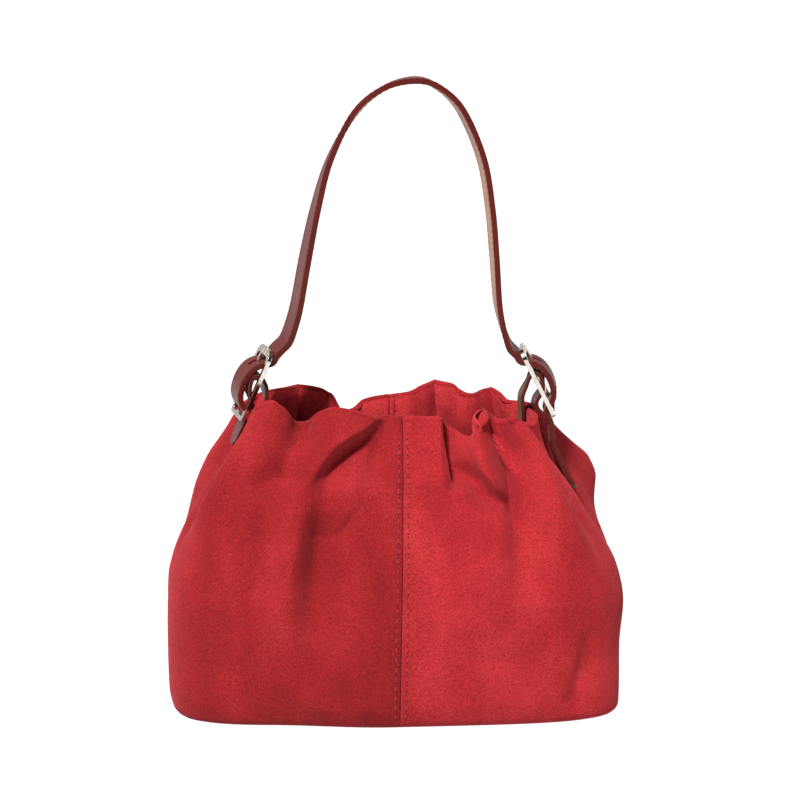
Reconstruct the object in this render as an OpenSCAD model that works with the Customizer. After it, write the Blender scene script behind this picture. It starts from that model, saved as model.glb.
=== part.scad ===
// Gathered suede bucket bag with a leather shoulder strap and two centre-bar buckles.
// Millimetres, +Z up, +X across the width, origin under the middle of the base.

/* [Body] */
// Widest half width of the body
half_w = 132; // [120:1:140]
// Deepest half depth of the body
half_d = 63; // [52:1:70]
// Height of the gathered rim
rim_z = 173; // [165:1:185]
// Thickness of the suede panels
suede_t = 2; // [1.6:0.1:2.2]

/* [Gathered ends] */
// Distance from the middle to the folded-in end wall, at the rim
end_x = 80; // [78:0.5:81]
// Half width of the flat part of the end wall
end_flat = 28; // [25:1:28]

/* [Strap] */
// Width of the shoulder strap
strap_w = 20; // [16:1:20]
// Thickness of one leather layer of the strap
layer_t = 1.6; // [1.2:0.1:1.6]
// Width of the leather tab that holds a buckle
tab_w = 18; // [14:1:18]

/* [Buckle] */
// Outer width of a buckle frame
frame_w = 28; // [27:0.5:30]
// Thickness of a buckle frame
frame_t = 2.4; // [2.2:0.1:2.6]
// Radius of the centre bar
bar_r = 0.9; // [0.7:0.05:0.95]

/* [Rivets] */
// Height of the rivets that the handle swings on
rivet_z = 160; // [158:1:162]
// Radius of a rivet post
rivet_r = 2; // [1.5:0.1:2.5]

/* [Hidden] */

$fn = 48;
eps = 0.01;
gap = 0.3;              // between layers that lie on each other
run = 0.05;             // radial clearance of a pin that turns in its hole
big = 400;

// ---- body shell ----
// Each level of the body: height, half width and half depth as shares of the
// widest, boxiness of its outline, and how far out the folded end wall lies.
ring_n = 64;
flank_slope = 2.5;
LEVELS = [
    // z,      width, depth, box, end wall
    [0,        0.908, 0.83,  3.5, big],
    [4,        0.970, 0.92,  3.5, big],
    [16,       0.995, 0.97,  3.5, big],
    [60,       1.000, 1.00,  3.5, big],
    [100,      0.972, 0.94,  3.8, 126],
    [112,      0.944, 0.89,  4.2, 112],
    [126,      0.912, 0.83,  4.8, end_x + 21],
    [140,      0.855, 0.75,  5.4, end_x + 11],
    [148,      0.815, 0.69,  6,   end_x],
    [160,      0.740, 0.61,  6,   end_x],
    [rim_z,    0.690, 0.56,  6,   end_x]];

function level_table(col) = [for (l = LEVELS) [l[0], l[col]]];
function at(z, col) = lookup(z, level_table(col));
function levels_between(z0, z1) =
    concat([z0], [for (l = LEVELS) if (l[0] > z0 + 1 && l[0] < z1 - 1) l[0]], [z1]);
function signed_pow(v, p) = sign(v) * pow(abs(v), p);
// One outline of the body at height z, moved in by inset
function ring(z, inset) = [for (i = [0:ring_n - 1])
    let (a = 360 * i / ring_n, p = 2 / at(z, 3),
         x = (half_w * at(z, 1) - inset) * signed_pow(cos(a), p),
         y = (half_d * at(z, 2) - inset) * signed_pow(sin(a), p),
         wall = at(z, 4) - inset + max(0, abs(y) - end_flat - inset) * flank_slope)
    [sign(x) * min(abs(x), wall), y, z]];

// A closed wall between two insets, from height z0 to z1
module shell(z0, z1, outer, inner) {
    zs = levels_between(z0, z1);
    m = len(zs);
    n = ring_n;
    pts = concat([for (z = zs) each ring(z, outer)], [for (z = zs) each ring(z, inner)]);
    side = [for (k = [0:m - 2], i = [0:n - 1]) let (j = (i + 1) % n, a = k * n, b = a + n)
            each [[a + i, b + i, b + j], [a + i, b + j, a + j]]];
    inside = [for (f = side) [f[0] + m * n, f[2] + m * n, f[1] + m * n]];
    foot = [for (i = [0:n - 1]) let (j = (i + 1) % n, c = m * n)
            each [[i, j, c + j], [i, c + j, c + i]]];
    top = [for (i = [0:n - 1]) let (j = (i + 1) % n, a = (m - 1) * n, c = m * n + a)
           each [[a + i, c + j, a + j], [a + i, c + i, c + j]]];
    polyhedron(pts, concat(side, inside, foot, top), convexity = 8);
}

// The half of the space at side (-1 left, 1 right)
module half_space(side)
    translate([side * big / 2, 0, big / 2]) cube([big, big, 2 * big], center = true);

// A flat plate that fills the body outline at height z
module plate(z, thickness, inset)
    translate([0, 0, z]) linear_extrude(thickness)
        polygon([for (p = ring(z, inset)) [p[0], p[1]]]);

panel_in = suede_t;
band_out = suede_t + gap;            // elastic and lining lie behind the panel
band_in = band_out + 0.8;
face_out = band_in + gap;            // the facing covers the elastic
face_in = face_out + 1.4;
board_z = suede_t + gap;
board_t = 1.5;
lining_z = board_z + board_t + gap;
lining_t = 0.8;
facing_z = 126;          // the facing carries on where the lining ends
elastic_z = [rim_z - 8, rim_z - 2];

// ---- magnetic snap, on the sloping wall at the middle of the front and back ----
snap_z = 154;
snap_y = half_d * at(snap_z, 2);
snap_tilt = atan((half_d * (at(148, 2) - at(160, 2))) / 12);
snap_r = 5.5;
shank_r = 1.6;
// side -1 is the front wall; the z axis of the children points into the bag
module on_wall(side)
    translate([0, side * snap_y, snap_z]) rotate([side * (90 + snap_tilt), 0, 0]) children();

module snap_hole(side)
    on_wall(side) cylinder(r = shank_r + gap, h = 14, center = true);

// ---- buckle places ----
// Bar axis in X and Z, how far the top of the frame leans towards the middle,
// and how far the frame's outer face is turned to the front
LEFT = [-79.9, 193.5, 24, 12];
RIGHT = [81.8, 193, 27, 9];
function side_of(place) = sign(place[0]);
// Slope in X and Z of a direction across the strap, per unit of Y
function cross_lean(place) = tan(place[3])
    * [side_of(place) * cos(place[2]), sin(place[2])];
function across(lean) = let (v = [lean[0], 1, lean[1]]) v / norm(v);
// A point given along the frame (s) and outwards from it (n), in X and Z
function local(place, s, n) = let (k = side_of(place), a = place[2])
    [place[0] + k * (-s * sin(a) + n * cos(a)), place[1] + s * cos(a) + n * sin(a)];

frame_top = 18.6;
frame_foot = -25;
top_bar = 4.4;
foot_bar = 2.5;
side_bar = 3;
bar_half = frame_w / 2;

// ---- strap route ----
// Through a buckle, along the frame and outwards from it: under the foot bar,
// loosely round the tab, under the top bar. A third number is the share of the
// frame's lean that the strap takes.
THREAD = [[-24, -4.5, 0.6], [-20, -3, 0.6], [-18.4, -0.8, 0.8], [-17.3, 1.8], [-15, 4.2],
          [-11.5, 5.9], [-6, 6.8], [-1, 6.6], [3.5, 5.4], [7, 3.2], [9.2, 0.6], [10.6, -1.8],
          [12.7, -3.8], [16.5, -4.3], [21, -5.8]];
LEFT_TAIL = [[-41, -4.3, 0.5], [-36, -4.3, 0.5], [-30, -4.3, 0.5]];
RIGHT_STUB = [[-27.5, -4.3, 0.5]];
// Middle of the thickness in X and Z, then the lean in X and Z of the direction across
ARCH = [[-62, 214.5, -0.2, 0.07], [-58.7, 223, -0.19, 0.06], [-55.5, 235, -0.18, 0.06],
        [-50.5, 262, -0.16, 0.05], [-44.5, 290, -0.1, 0.03], [-36.5, 317, 0, 0],
        [-22, 343.5, 0.1, -0.07], [-5, 357.5, 0.06, -0.04], [13, 361.7, 0, 0.03],
        [26, 357, -0.03, 0], [38.5, 344, -0.05, -0.02], [50, 317, -0.05, -0.02],
        [55, 289, -0.04, 0], [57.5, 262, -0.03, 0], [59.5, 236, 0, 0], [62, 223, 0.05, 0.02],
        [65, 213.5, 0.1, 0.05]];
TAIL = [[91.4, 156, 0.06, 0.03], [92.3, 152, 0.05, 0.02], [95, 145.5, 0.03, 0],
        [99.5, 135.5, 0, 0], [105, 126, 0, 0]];

function reversed(v) = [for (i = [len(v) - 1:-1:0]) v[i]];
function through(place, v) = [for (p = v)
    concat(local(place, p[0], p[1]), (len(p) > 2 ? p[2] : 1) * cross_lean(place))];
STRAP = concat(through(LEFT, concat(LEFT_TAIL, THREAD)), ARCH,
               through(RIGHT, reversed(concat(RIGHT_STUB, THREAD))));

// Smooth curve through points, with steps pieces to each span
function spline(v, steps) = concat(
    [for (i = [0:len(v) - 2], s = [0:steps - 1])
        let (a = v[max(i - 1, 0)], b = v[i], c = v[i + 1], d = v[min(i + 2, len(v) - 1)],
             t = s / steps)
        0.5 * (2 * b + (c - a) * t + (2 * a - 5 * b + 4 * c - d) * t * t
               + (3 * b - a - 3 * c + d) * t * t * t)],
    [v[len(v) - 1]]);
function normal_at(v, i) = let (d = v[min(i + 1, len(v) - 1)] - v[max(i - 1, 0)])
    [-d[1], 0, d[0]] / norm([d[0], d[1]]);
// The two directions of the strip's section at a point: through it and across it
function section_at(v, i) = let (w = across([v[i][2], v[i][3]]), n = normal_at(v, i),
                                 m = n - (n * w) * w)
    [m / norm(m), w];

// A strip of leather of the given width, from low to high through its thickness
module strip(route, width, low, high) {
    m = len(route);
    pts = [for (i = [0:m - 1]) let (f = section_at(route, i), c = [route[i][0], 0, route[i][1]])
           each [for (q = [[low, -0.5], [high, -0.5], [high, 0.5], [low, 0.5]])
                 c + q[0] * f[0] + q[1] * width * f[1]]];
    sides = [for (i = [0:m - 2], k = [0:3])
             let (a = 4 * i + k, b = 4 * i + (k + 1) % 4)
             each [[a, b, b + 4], [a, b + 4, a + 4]]];
    last = 4 * (m - 1);
    ends = [[0, 3, 2], [0, 2, 1], [last, last + 1, last + 2], [last, last + 2, last + 3]];
    polyhedron(pts, concat(sides, ends), convexity = 8);
}

strap_route = spline(STRAP, 3);
tail_route = spline(TAIL, 3);

// ---- tabs ----
tab_t = 2;
loop_r = bar_r + 0.2 + tab_t / 2;
inner_leg = end_x - face_in - gap - tab_t / 2;
outer_leg = end_x + gap + tab_t / 2;
tab_foot = rivet_z - tab_w / 2;
// Up the outer leg, loosely over the bar, down the inner leg: distance from the
// middle, height, and how far the strip is turned with the bar. The loop's points
// are from the bar.
TAB_OUTER = [[outer_leg, tab_foot - 2, 0], [outer_leg, 165, 0], [outer_leg, 174, 0],
             [outer_leg + 0.8, 179, 0.2]];
TAB_LOOP = [[4, -8.5, 0.7], [4.4, -4.5, 1], [3.6, -0.8, 1], [2.1, 1.4, 1],
            [0, loop_r, 1], [-2.1, 1.3, 1], [-3.7, -1.2, 1], [-5, -5, 1]];
TAB_INNER = [[inner_leg, 182, 0.3], [inner_leg - 0.4, 177, 0], [inner_leg, 171, 0],
             [inner_leg, 165, 0], [inner_leg, tab_foot - 2, 0]];
function tab_route(place) = let (k = side_of(place), lean = cross_lean(place))
    [for (p = spline(concat(TAB_OUTER,
                            [for (q = TAB_LOOP) [k * place[0] + q[0], place[1] + q[1], q[2]]],
                            TAB_INNER), 3))
     [k * p[0], p[1], p[2] * lean[0], p[2] * lean[1]]];

prong_slot = 4;
// ---- modules of the parts ----
module at_buckle(place)
    translate([place[0], 0, place[1]]) mirror([side_of(place) < 0 ? 1 : 0, 0, 0])
        rotate([0, -place[2], 0]) rotate([0, 0, -place[3]]) children();

module rivet_hole(side, r)
    translate([side * end_x, 0, rivet_z]) rotate([0, 90, 0]) cylinder(r = r, h = 30, center = true);

module body_panel(side) {
    difference() {
        intersection() {
            shell(0, rim_z, 0, panel_in);
            half_space(side);
        }
        rivet_hole(side, rivet_r + run);
    }
}

module hem_facing(side) {
    difference() {
        intersection() {
            shell(facing_z, rim_z, face_out, face_in);
            half_space(side);
        }
        rivet_hole(side, rivet_r + run);
        snap_hole(-1);
        snap_hole(1);
    }
}

module left_body_panel() color([0.68, 0.13, 0.16]) body_panel(-1);
module right_body_panel() color([0.74, 0.15, 0.18]) body_panel(1);
module base_panel() color([0.6, 0.1, 0.13]) plate(0, suede_t, suede_t + gap);
module base_board() color([0.55, 0.48, 0.4]) plate(board_z, board_t, suede_t + 1);
module lining_base() color([0.45, 0.08, 0.1]) plate(lining_z, lining_t, suede_t + 1.5);
module lining_wall() color([0.45, 0.08, 0.1])
    shell(lining_z + lining_t + gap, facing_z - gap, face_out, face_out + 0.8);
module left_hem_facing() color([0.62, 0.12, 0.15]) hem_facing(-1);
module right_hem_facing() color([0.62, 0.12, 0.15]) hem_facing(1);
module mouth_elastic() color([0.9, 0.88, 0.84])
    shell(elastic_z[0], elastic_z[1], band_out, band_in);

// The snap's washer lies behind the facing; its disc shows inside the bag
module snap_washer(side) on_wall(side) difference() {
    translate([0, 0, band_out]) cylinder(r = snap_r - 0.5, h = 0.7);
    cylinder(r = shank_r, h = 8);
}
module snap_disc(side) on_wall(side) {
    translate([0, 0, band_out]) cylinder(r = shank_r, h = face_in - band_out + 1);
    translate([0, 0, face_in + gap]) cylinder(r1 = snap_r, r2 = snap_r - 0.6, h = 1.6);
}
module snap_socket() color([0.78, 0.74, 0.66]) difference() {
    snap_disc(-1);
    on_wall(-1) translate([0, 0, face_in + 0.9]) cylinder(r = 2.4, h = 3);
}
module snap_stud() color([0.78, 0.74, 0.66]) {
    snap_disc(1);
    on_wall(1) translate([0, 0, face_in + 1.5]) cylinder(r1 = 2.2, r2 = 1.9, h = 1.1);
}
module snap_socket_washer() color("silver") snap_washer(-1);
module snap_stud_washer() color("silver") snap_washer(1);

module tab(place) {
    k = side_of(place);
    difference() {
        intersection() {
            strip(tab_route(place), tab_w, -tab_t / 2, tab_t / 2);
            // rounded feet, concentric with the rivet
            translate([0, 0, rivet_z]) rotate([0, 90, 0])
                linear_extrude(big, center = true) union() {
                    circle(r = tab_w / 2);
                    translate([-60, -tab_w / 2]) square([60, tab_w]);
                }
        }
        rivet_hole(k, rivet_r);
        // slot that lets the prong round the bar
        at_buckle(place) cube([12, prong_slot, 9], center = true);
    }
}
module left_tab() color([0.44, 0.16, 0.14]) tab(LEFT);
module right_tab() color([0.44, 0.16, 0.14]) tab(RIGHT);

head_t = 1.2;
rivet_out = outer_leg + tab_t / 2;
rivet_in = inner_leg - tab_t / 2;
module along_x(side, x) translate([side * x, 0, rivet_z]) rotate([0, side * 90, 0]) children();
module rivet_post(side) {
    along_x(side, rivet_in - 0.8) cylinder(r = rivet_r, h = rivet_out - rivet_in + 1);
    along_x(side, rivet_out) cylinder(r1 = 3.6, r2 = 2.8, h = head_t);
}
module rivet_cap(side) along_x(side, rivet_in - head_t) difference() {
    cylinder(r1 = 2.8, r2 = 3.6, h = head_t);
    translate([0, 0, head_t - 0.8]) cylinder(r = rivet_r, h = 2);
}
module left_rivet_post() color("silver") rivet_post(-1);
module right_rivet_post() color("silver") rivet_post(1);
module left_rivet_cap() color("silver") rivet_cap(-1);
module right_rivet_cap() color("silver") rivet_cap(1);

// The hole that the prong comes through
module prong_hole(place)
    at_buckle(place) translate([2, 0, 9]) cube([14, 3.4, 11], center = true);

module strap_layer(low, high) difference() {
    strip(strap_route, strap_w, low, high);
    prong_hole(LEFT);
    prong_hole(RIGHT);
}
module strap_outer() color([0.44, 0.16, 0.14]) strap_layer(0, layer_t);
module strap_backing() color([0.6, 0.36, 0.28]) strap_layer(-layer_t, 0);
module tail_outer() color([0.44, 0.16, 0.14]) strip(tail_route, strap_w, 0, layer_t);
module tail_backing() color([0.6, 0.36, 0.28]) strip(tail_route, strap_w, -layer_t, 0);

// A rectangle with its corners rounded by four quarter discs, kept as true arcs
module frame_plate(s0, s1, w, r0, r1) union() {
    translate([s0 + r0, -w]) square([s1 - s0 - r0 - r1, 2 * w]);
    translate([s0, r0 - w]) square([r0 + eps, 2 * (w - r0)]);
    translate([s1 - r1 - eps, r1 - w]) square([r1 + eps, 2 * (w - r1)]);
    for (y = [-1, 1]) {
        translate([s0 + r0, y * (w - r0)]) circle(r = r0);
        translate([s1 - r1, y * (w - r1)]) circle(r = r1);
    }
}

module buckle_frame(place) at_buckle(place) difference() {
    rotate([0, -90, 0]) linear_extrude(frame_t, center = true) difference() {
        frame_plate(frame_foot, frame_top, bar_half, 3, 7);
        frame_plate(frame_foot + foot_bar, frame_top - top_bar, bar_half - side_bar, 1, 3.5);
    }
    rotate([90, 0, 0]) cylinder(r = bar_r, h = frame_w + 2, center = true);
}
module left_buckle_frame() color([0.84, 0.81, 0.76]) buckle_frame(LEFT);
module right_buckle_frame() color([0.84, 0.81, 0.76]) buckle_frame(RIGHT);

module buckle_bar(place) at_buckle(place)
    rotate([90, 0, 0]) cylinder(r = bar_r, h = frame_w - 0.4, center = true);
module left_buckle_bar() color([0.7, 0.68, 0.64]) buckle_bar(LEFT);
module right_buckle_bar() color([0.7, 0.68, 0.64]) buckle_bar(RIGHT);

// A curled eye on the bar, and a tongue whose tip rests on the top bar
prong_w = 2.4;
rest_n = frame_t / 2 + run;
eye_r = 2;
module prong(place) at_buckle(place) rotate([90, 0, 0]) difference() {
    union() {
        cylinder(r = eye_r, h = prong_w, center = true);
        linear_extrude(prong_w, center = true)
            polygon([[1.1, 0.4], [rest_n, 12], [rest_n, 17.6], [rest_n + 0.6, 18.2],
                     [rest_n + 1.2, 17.8], [rest_n + 1.6, 12], [eye_r - 0.1, 0.4]]);
    }
    cylinder(r = bar_r + run, h = prong_w + 2, center = true);
}
module left_prong() color([0.84, 0.81, 0.76]) prong(LEFT);
module right_prong() color([0.84, 0.81, 0.76]) prong(RIGHT);

left_body_panel();
right_body_panel();
base_panel();
base_board();
lining_wall();
lining_base();
left_hem_facing();
right_hem_facing();
mouth_elastic();
snap_socket();
snap_stud();
snap_socket_washer();
snap_stud_washer();
left_tab();
right_tab();
left_rivet_post();
right_rivet_post();
left_rivet_cap();
right_rivet_cap();
strap_outer();
strap_backing();
tail_outer();
tail_backing();
left_buckle_frame();
right_buckle_frame();
left_buckle_bar();
right_buckle_bar();
left_prong();
right_prong();
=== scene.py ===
"""A gathered suede bucket bag with a leather shoulder strap and two centre-bar buckles."""
import math

import bpy
import numpy as np
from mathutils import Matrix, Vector


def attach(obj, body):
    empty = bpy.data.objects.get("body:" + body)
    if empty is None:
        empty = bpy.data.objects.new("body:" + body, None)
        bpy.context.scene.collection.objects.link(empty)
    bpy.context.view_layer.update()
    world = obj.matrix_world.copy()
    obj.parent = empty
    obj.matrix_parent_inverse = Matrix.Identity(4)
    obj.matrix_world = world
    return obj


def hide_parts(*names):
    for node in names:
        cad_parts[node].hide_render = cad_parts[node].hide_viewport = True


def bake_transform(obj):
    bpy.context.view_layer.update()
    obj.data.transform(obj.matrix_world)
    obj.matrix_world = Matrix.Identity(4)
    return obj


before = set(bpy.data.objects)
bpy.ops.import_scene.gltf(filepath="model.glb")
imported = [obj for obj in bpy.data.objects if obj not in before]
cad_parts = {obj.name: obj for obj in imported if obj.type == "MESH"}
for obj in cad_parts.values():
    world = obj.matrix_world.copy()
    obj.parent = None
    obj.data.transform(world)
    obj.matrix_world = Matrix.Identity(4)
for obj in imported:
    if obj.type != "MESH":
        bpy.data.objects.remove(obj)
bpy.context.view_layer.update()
MM = 0.001

# ---------------------------------------------------------------- camera and stage

CAMERA_AZIMUTH = math.radians(-4.7)
CAMERA_ELEVATION = math.radians(9.0)
CAMERA_DISTANCE = 1.5
FRAME_WIDTH = 0.46
TARGET = Vector((0.0034, 0.0, 0.179))

# Brightness of the world by the Y part of the direction: 0 behind the camera, 1 beyond the bag
WORLD_SHADE = [(0.0, (0.03, 0.03, 0.03)), (0.5, (0.09, 0.09, 0.09)), (0.75, (0.3, 0.3, 0.3)),
               (0.93, (0.6, 0.6, 0.6))]
# The key light is like a far window: where it comes from, its width in degrees, its strength
KEY = ((-0.36, -0.74, 0.88), 11, 6.8)
# name, place, diameter, power
LIGHTS = [("top", (-0.3, -0.5, 1.7), 1.2, 7), ("side", (1.6, -0.8, 0.5), 0.8, 7),
          ("card", (-1.3, -0.9, 1.2), 1.4, 9)]


def make_camera():
    data = bpy.data.cameras.new("camera")
    data.angle = 2 * math.atan(FRAME_WIDTH / 2 / CAMERA_DISTANCE)
    data.clip_start = 0.05
    camera = bpy.data.objects.new("camera", data)
    bpy.context.scene.collection.objects.link(camera)
    level = math.cos(CAMERA_ELEVATION)
    back = Vector((math.sin(CAMERA_AZIMUTH) * level, -math.cos(CAMERA_AZIMUTH) * level,
                   math.sin(CAMERA_ELEVATION)))
    camera.location = TARGET + CAMERA_DISTANCE * back
    camera.rotation_euler = back.to_track_quat("Z", "Y").to_euler()
    bpy.context.scene.camera = camera


def area_light(name, location, size, power, target=(0, 0, 0.12)):
    data = bpy.data.lights.new(name, "AREA")
    data.shape = "DISK"
    data.size = size
    data.energy = power
    light = bpy.data.objects.new(name, data)
    bpy.context.scene.collection.objects.link(light)
    light.location = location
    light.rotation_euler = (Vector(location) - Vector(target)).to_track_quat("Z", "Y").to_euler()


def floor_material():
    """Plain white, like a light table."""
    material, nodes, _ = new_material("floor")
    shader = nodes["Principled BSDF"]
    shader.inputs["Base Color"].default_value = (0.1, 0.1, 0.1, 1)
    shader.inputs["Specular IOR Level"].default_value = 0.0
    shader.inputs["Emission Color"].default_value = (1, 1, 1, 1)
    shader.inputs["Emission Strength"].default_value = 1.0
    return material


def make_stage():
    bpy.context.scene.view_settings.view_transform = "Standard"
    world = bpy.data.worlds.new("studio")
    world.use_nodes = True
    nodes, links = world.node_tree.nodes, world.node_tree.links
    # White all round, with a dim part behind the camera as in a real studio
    coords = nodes.new("ShaderNodeTexCoord")
    split = nodes.new("ShaderNodeSeparateXYZ")
    links.new(coords.outputs["Generated"], split.inputs["Vector"])
    ahead = nodes.new("ShaderNodeMapRange")
    ahead.inputs["From Min"].default_value = -1.0
    links.new(split.outputs["Y"], ahead.inputs["Value"])
    shade = ramp(nodes, links, ahead.outputs["Result"], WORLD_SHADE)
    links.new(shade, nodes["Background"].inputs["Color"])
    nodes["Background"].inputs["Strength"].default_value = 1.0
    bpy.context.scene.world = world
    data = bpy.data.lights.new("key", "SUN")
    data.angle = math.radians(KEY[1])
    data.energy = KEY[2]
    key = bpy.data.objects.new("key", data)
    bpy.context.scene.collection.objects.link(key)
    key.rotation_euler = Vector(KEY[0]).to_track_quat("Z", "Y").to_euler()
    for name, location, size, power in LIGHTS:
        area_light(name, location, size, power)
    floor = grid_object("floor", *plane_grid(400.0, 400.0, 2, 2))
    paint(floor, floor_material())


# ---------------------------------------------------------------- mesh helpers

def mesh_object(name, points, faces, smooth=True):
    """A new mesh; points in metres."""
    mesh = bpy.data.meshes.new(name)
    mesh.from_pydata([tuple(p) for p in points], [], [tuple(f) for f in faces])
    mesh.validate()
    mesh.polygons.foreach_set("use_smooth", [smooth] * len(mesh.polygons))
    obj = bpy.data.objects.new(name, mesh)
    bpy.context.scene.collection.objects.link(obj)
    return obj


def grid_faces(rows, columns, closed=False, start=0):
    """Quads of a grid of points stored row by row."""
    i, j = np.meshgrid(np.arange(rows - 1), np.arange(columns if closed else columns - 1),
                       indexing="ij")
    k = (j + 1) % columns
    a = start + i * columns + j
    b = start + i * columns + k
    return np.stack([a, b, b + columns, a + columns], -1).reshape(-1, 4)


def grid_object(name, points, rows, columns, closed=False, flip=False):
    faces = grid_faces(rows, columns, closed)
    return mesh_object(name, points.reshape(-1, 3), (faces[:, ::-1] if flip else faces).tolist())


def plane_grid(width, depth, rows, columns):
    y, x = np.meshgrid(np.linspace(-depth / 2, depth / 2, rows),
                       np.linspace(-width / 2, width / 2, columns), indexing="ij")
    return np.stack([x, y, 0 * x], -1), rows, columns


def modifier(obj, kind, **values):
    m = obj.modifiers.new(kind.lower(), kind)
    for key, value in values.items():
        setattr(m, key, value)
    return m


def paint(obj, *materials):
    obj.data.materials.clear()
    for material in materials:
        obj.data.materials.append(material)


def place_piece(obj, body, slot, *nodes):
    """obj moves with body and stands for the CAD nodes, which it hides; slot is not used."""
    if nodes:
        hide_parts(*nodes)
    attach(obj, body)
    return obj


# ---------------------------------------------------------------- materials

def srgb(r, g, b):
    """Linear colour of an 0 to 255 sRGB one."""
    return tuple(((c / 255 + 0.055) / 1.055) ** 2.4 for c in (r, g, b))


def new_material(name):
    material = bpy.data.materials.new(name)
    material.use_nodes = True
    return material, material.node_tree.nodes, material.node_tree.links


def plain_material(name, colour, roughness=0.5, metallic=0.0):
    material, nodes, _ = new_material(name)
    shader = nodes["Principled BSDF"]
    shader.inputs["Base Color"].default_value = (*colour, 1)
    shader.inputs["Roughness"].default_value = roughness
    shader.inputs["Metallic"].default_value = metallic
    return material


def noise(nodes, links, scale, detail=3.0, roughness=0.55, stretch=(1, 1, 1)):
    """A noise texture on the piece's own coordinates; scale is per metre."""
    coords = nodes.new("ShaderNodeTexCoord")
    mapping = nodes.new("ShaderNodeMapping")
    mapping.inputs["Scale"].default_value = stretch
    texture = nodes.new("ShaderNodeTexNoise")
    texture.inputs["Scale"].default_value = scale
    texture.inputs["Detail"].default_value = detail
    texture.inputs["Roughness"].default_value = roughness
    links.new(coords.outputs["Object"], mapping.inputs["Vector"])
    links.new(mapping.outputs["Vector"], texture.inputs["Vector"])
    return texture.outputs["Fac"]


def ramp(nodes, links, factor, stops):
    """Colours along a factor: stops are (position, colour)."""
    node = nodes.new("ShaderNodeValToRGB")
    elements = node.color_ramp.elements
    while len(elements) < len(stops):
        elements.new(0.5)
    for element, (position, colour) in zip(elements, stops):
        element.position = position
        element.color = (*colour, 1)
    links.new(factor, node.inputs["Fac"])
    return node.outputs["Color"]


def mix(nodes, links, kind, factor, a, b):
    node = nodes.new("ShaderNodeMix")
    node.data_type = "RGBA"
    node.blend_type = kind
    if isinstance(factor, float):
        node.inputs["Factor"].default_value = factor
    else:
        links.new(factor, node.inputs["Factor"])
    for socket, value in ((node.inputs["A"], a), (node.inputs["B"], b)):
        if isinstance(value, tuple):
            socket.default_value = (*value, 1)
        else:
            links.new(value, socket)
    return node.outputs["Result"]


def bump(nodes, links, heights, normal=None):
    """Bumps in a chain: heights are (factor, distance in metres)."""
    for factor, distance in heights:
        node = nodes.new("ShaderNodeBump")
        node.inputs["Distance"].default_value = distance
        links.new(factor, node.inputs["Height"])
        if normal:
            links.new(normal, node.inputs["Normal"])
        normal = node.outputs["Normal"]
    return normal


def suede_material(name, colour, light, dark):
    """Napped suede: brushed patches, a fine mottled grain and a soft sheen."""
    material, nodes, links = new_material(name)
    shader = nodes["Principled BSDF"]
    patches = ramp(nodes, links, noise(nodes, links, 22, 4.0, 0.6, stretch=(1, 1, 0.6)),
                   [(0.3, dark), (0.5, colour), (0.7, light)])
    mottle = noise(nodes, links, 1200, 3.0, 0.7)
    grain = noise(nodes, links, 2600, 2.0, 0.6)
    fleck = ramp(nodes, links, mottle, [(0.32, (0.62, 0.48, 0.5)), (0.68, (1.32, 1.6, 1.55))])
    speck = ramp(nodes, links, grain, [(0.25, (0.6, 0.5, 0.5)), (0.75, (1.3, 1.55, 1.5))])
    colours = mix(nodes, links, "MULTIPLY", 1.0, patches, fleck)
    colours = mix(nodes, links, "MULTIPLY", 1.0, colours, speck)
    links.new(colours, shader.inputs["Base Color"])
    shader.inputs["Roughness"].default_value = 0.95
    shader.inputs["Specular IOR Level"].default_value = 0.15
    shader.inputs["Sheen Weight"].default_value = 0.25
    shader.inputs["Sheen Roughness"].default_value = 0.4
    shader.inputs["Sheen Tint"].default_value = (1.0, 0.14, 0.17, 1)
    normal = bump(nodes, links, [(mottle, 0.0005), (grain, 0.0003)])
    links.new(normal, shader.inputs["Normal"])
    return material


# ---------------------------------------------------------------- numbers along curves

def smoothstep(t):
    t = np.clip(t, 0, 1)
    return t * t * (3 - 2 * t)


def through(points, x):
    """Smooth value at x of a curve through (x, value) points that doesn't overshoot."""
    xs, ys = np.array(points, float).T
    h = np.diff(xs)
    slope = np.diff(ys) / h
    m = np.zeros(len(xs))
    same = slope[:-1] * slope[1:] > 0
    m[1:-1][same] = (2 * slope[:-1] * slope[1:])[same] / (slope[:-1] + slope[1:])[same]
    x = np.clip(x, xs[0], xs[-1])
    i = np.clip(np.searchsorted(xs, x) - 1, 0, len(xs) - 2)
    t = (x - xs[i]) / h[i]
    return ((1 + 2 * t) * (1 - t) ** 2 * ys[i] + t * (1 - t) ** 2 * h[i] * m[i]
            + t * t * (3 - 2 * t) * ys[i + 1] - t * t * (1 - t) * h[i] * m[i + 1])


def fold(x, z, path):
    """Height of a fold along a path of (x, z, height, width on the +x side, on the -x side)."""
    path = np.array(path, float)
    best = np.full(x.shape, np.inf)
    height = np.zeros(x.shape)
    for a, b in zip(path[:-1], path[1:]):
        dx, dz = b[0] - a[0], b[1] - a[1]
        t = np.clip(((x - a[0]) * dx + (z - a[1]) * dz) / (dx * dx + dz * dz), 0, 1)
        px, pz = x - a[0] - t * dx, z - a[1] - t * dz
        left = dx * pz - dz * px > 0
        width = np.where(left, a[3] + t * (b[3] - a[3]), a[4] + t * (b[4] - a[4]))
        away = (px * px + pz * pz) / width ** 2
        closer = away < best
        best = np.where(closer, away, best)
        height = np.where(closer, (a[2] + t * (b[2] - a[2])) * np.exp(-away), height)
    return height


# ---------------------------------------------------------------- body shape, in millimetres

RIM = 173.0
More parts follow.
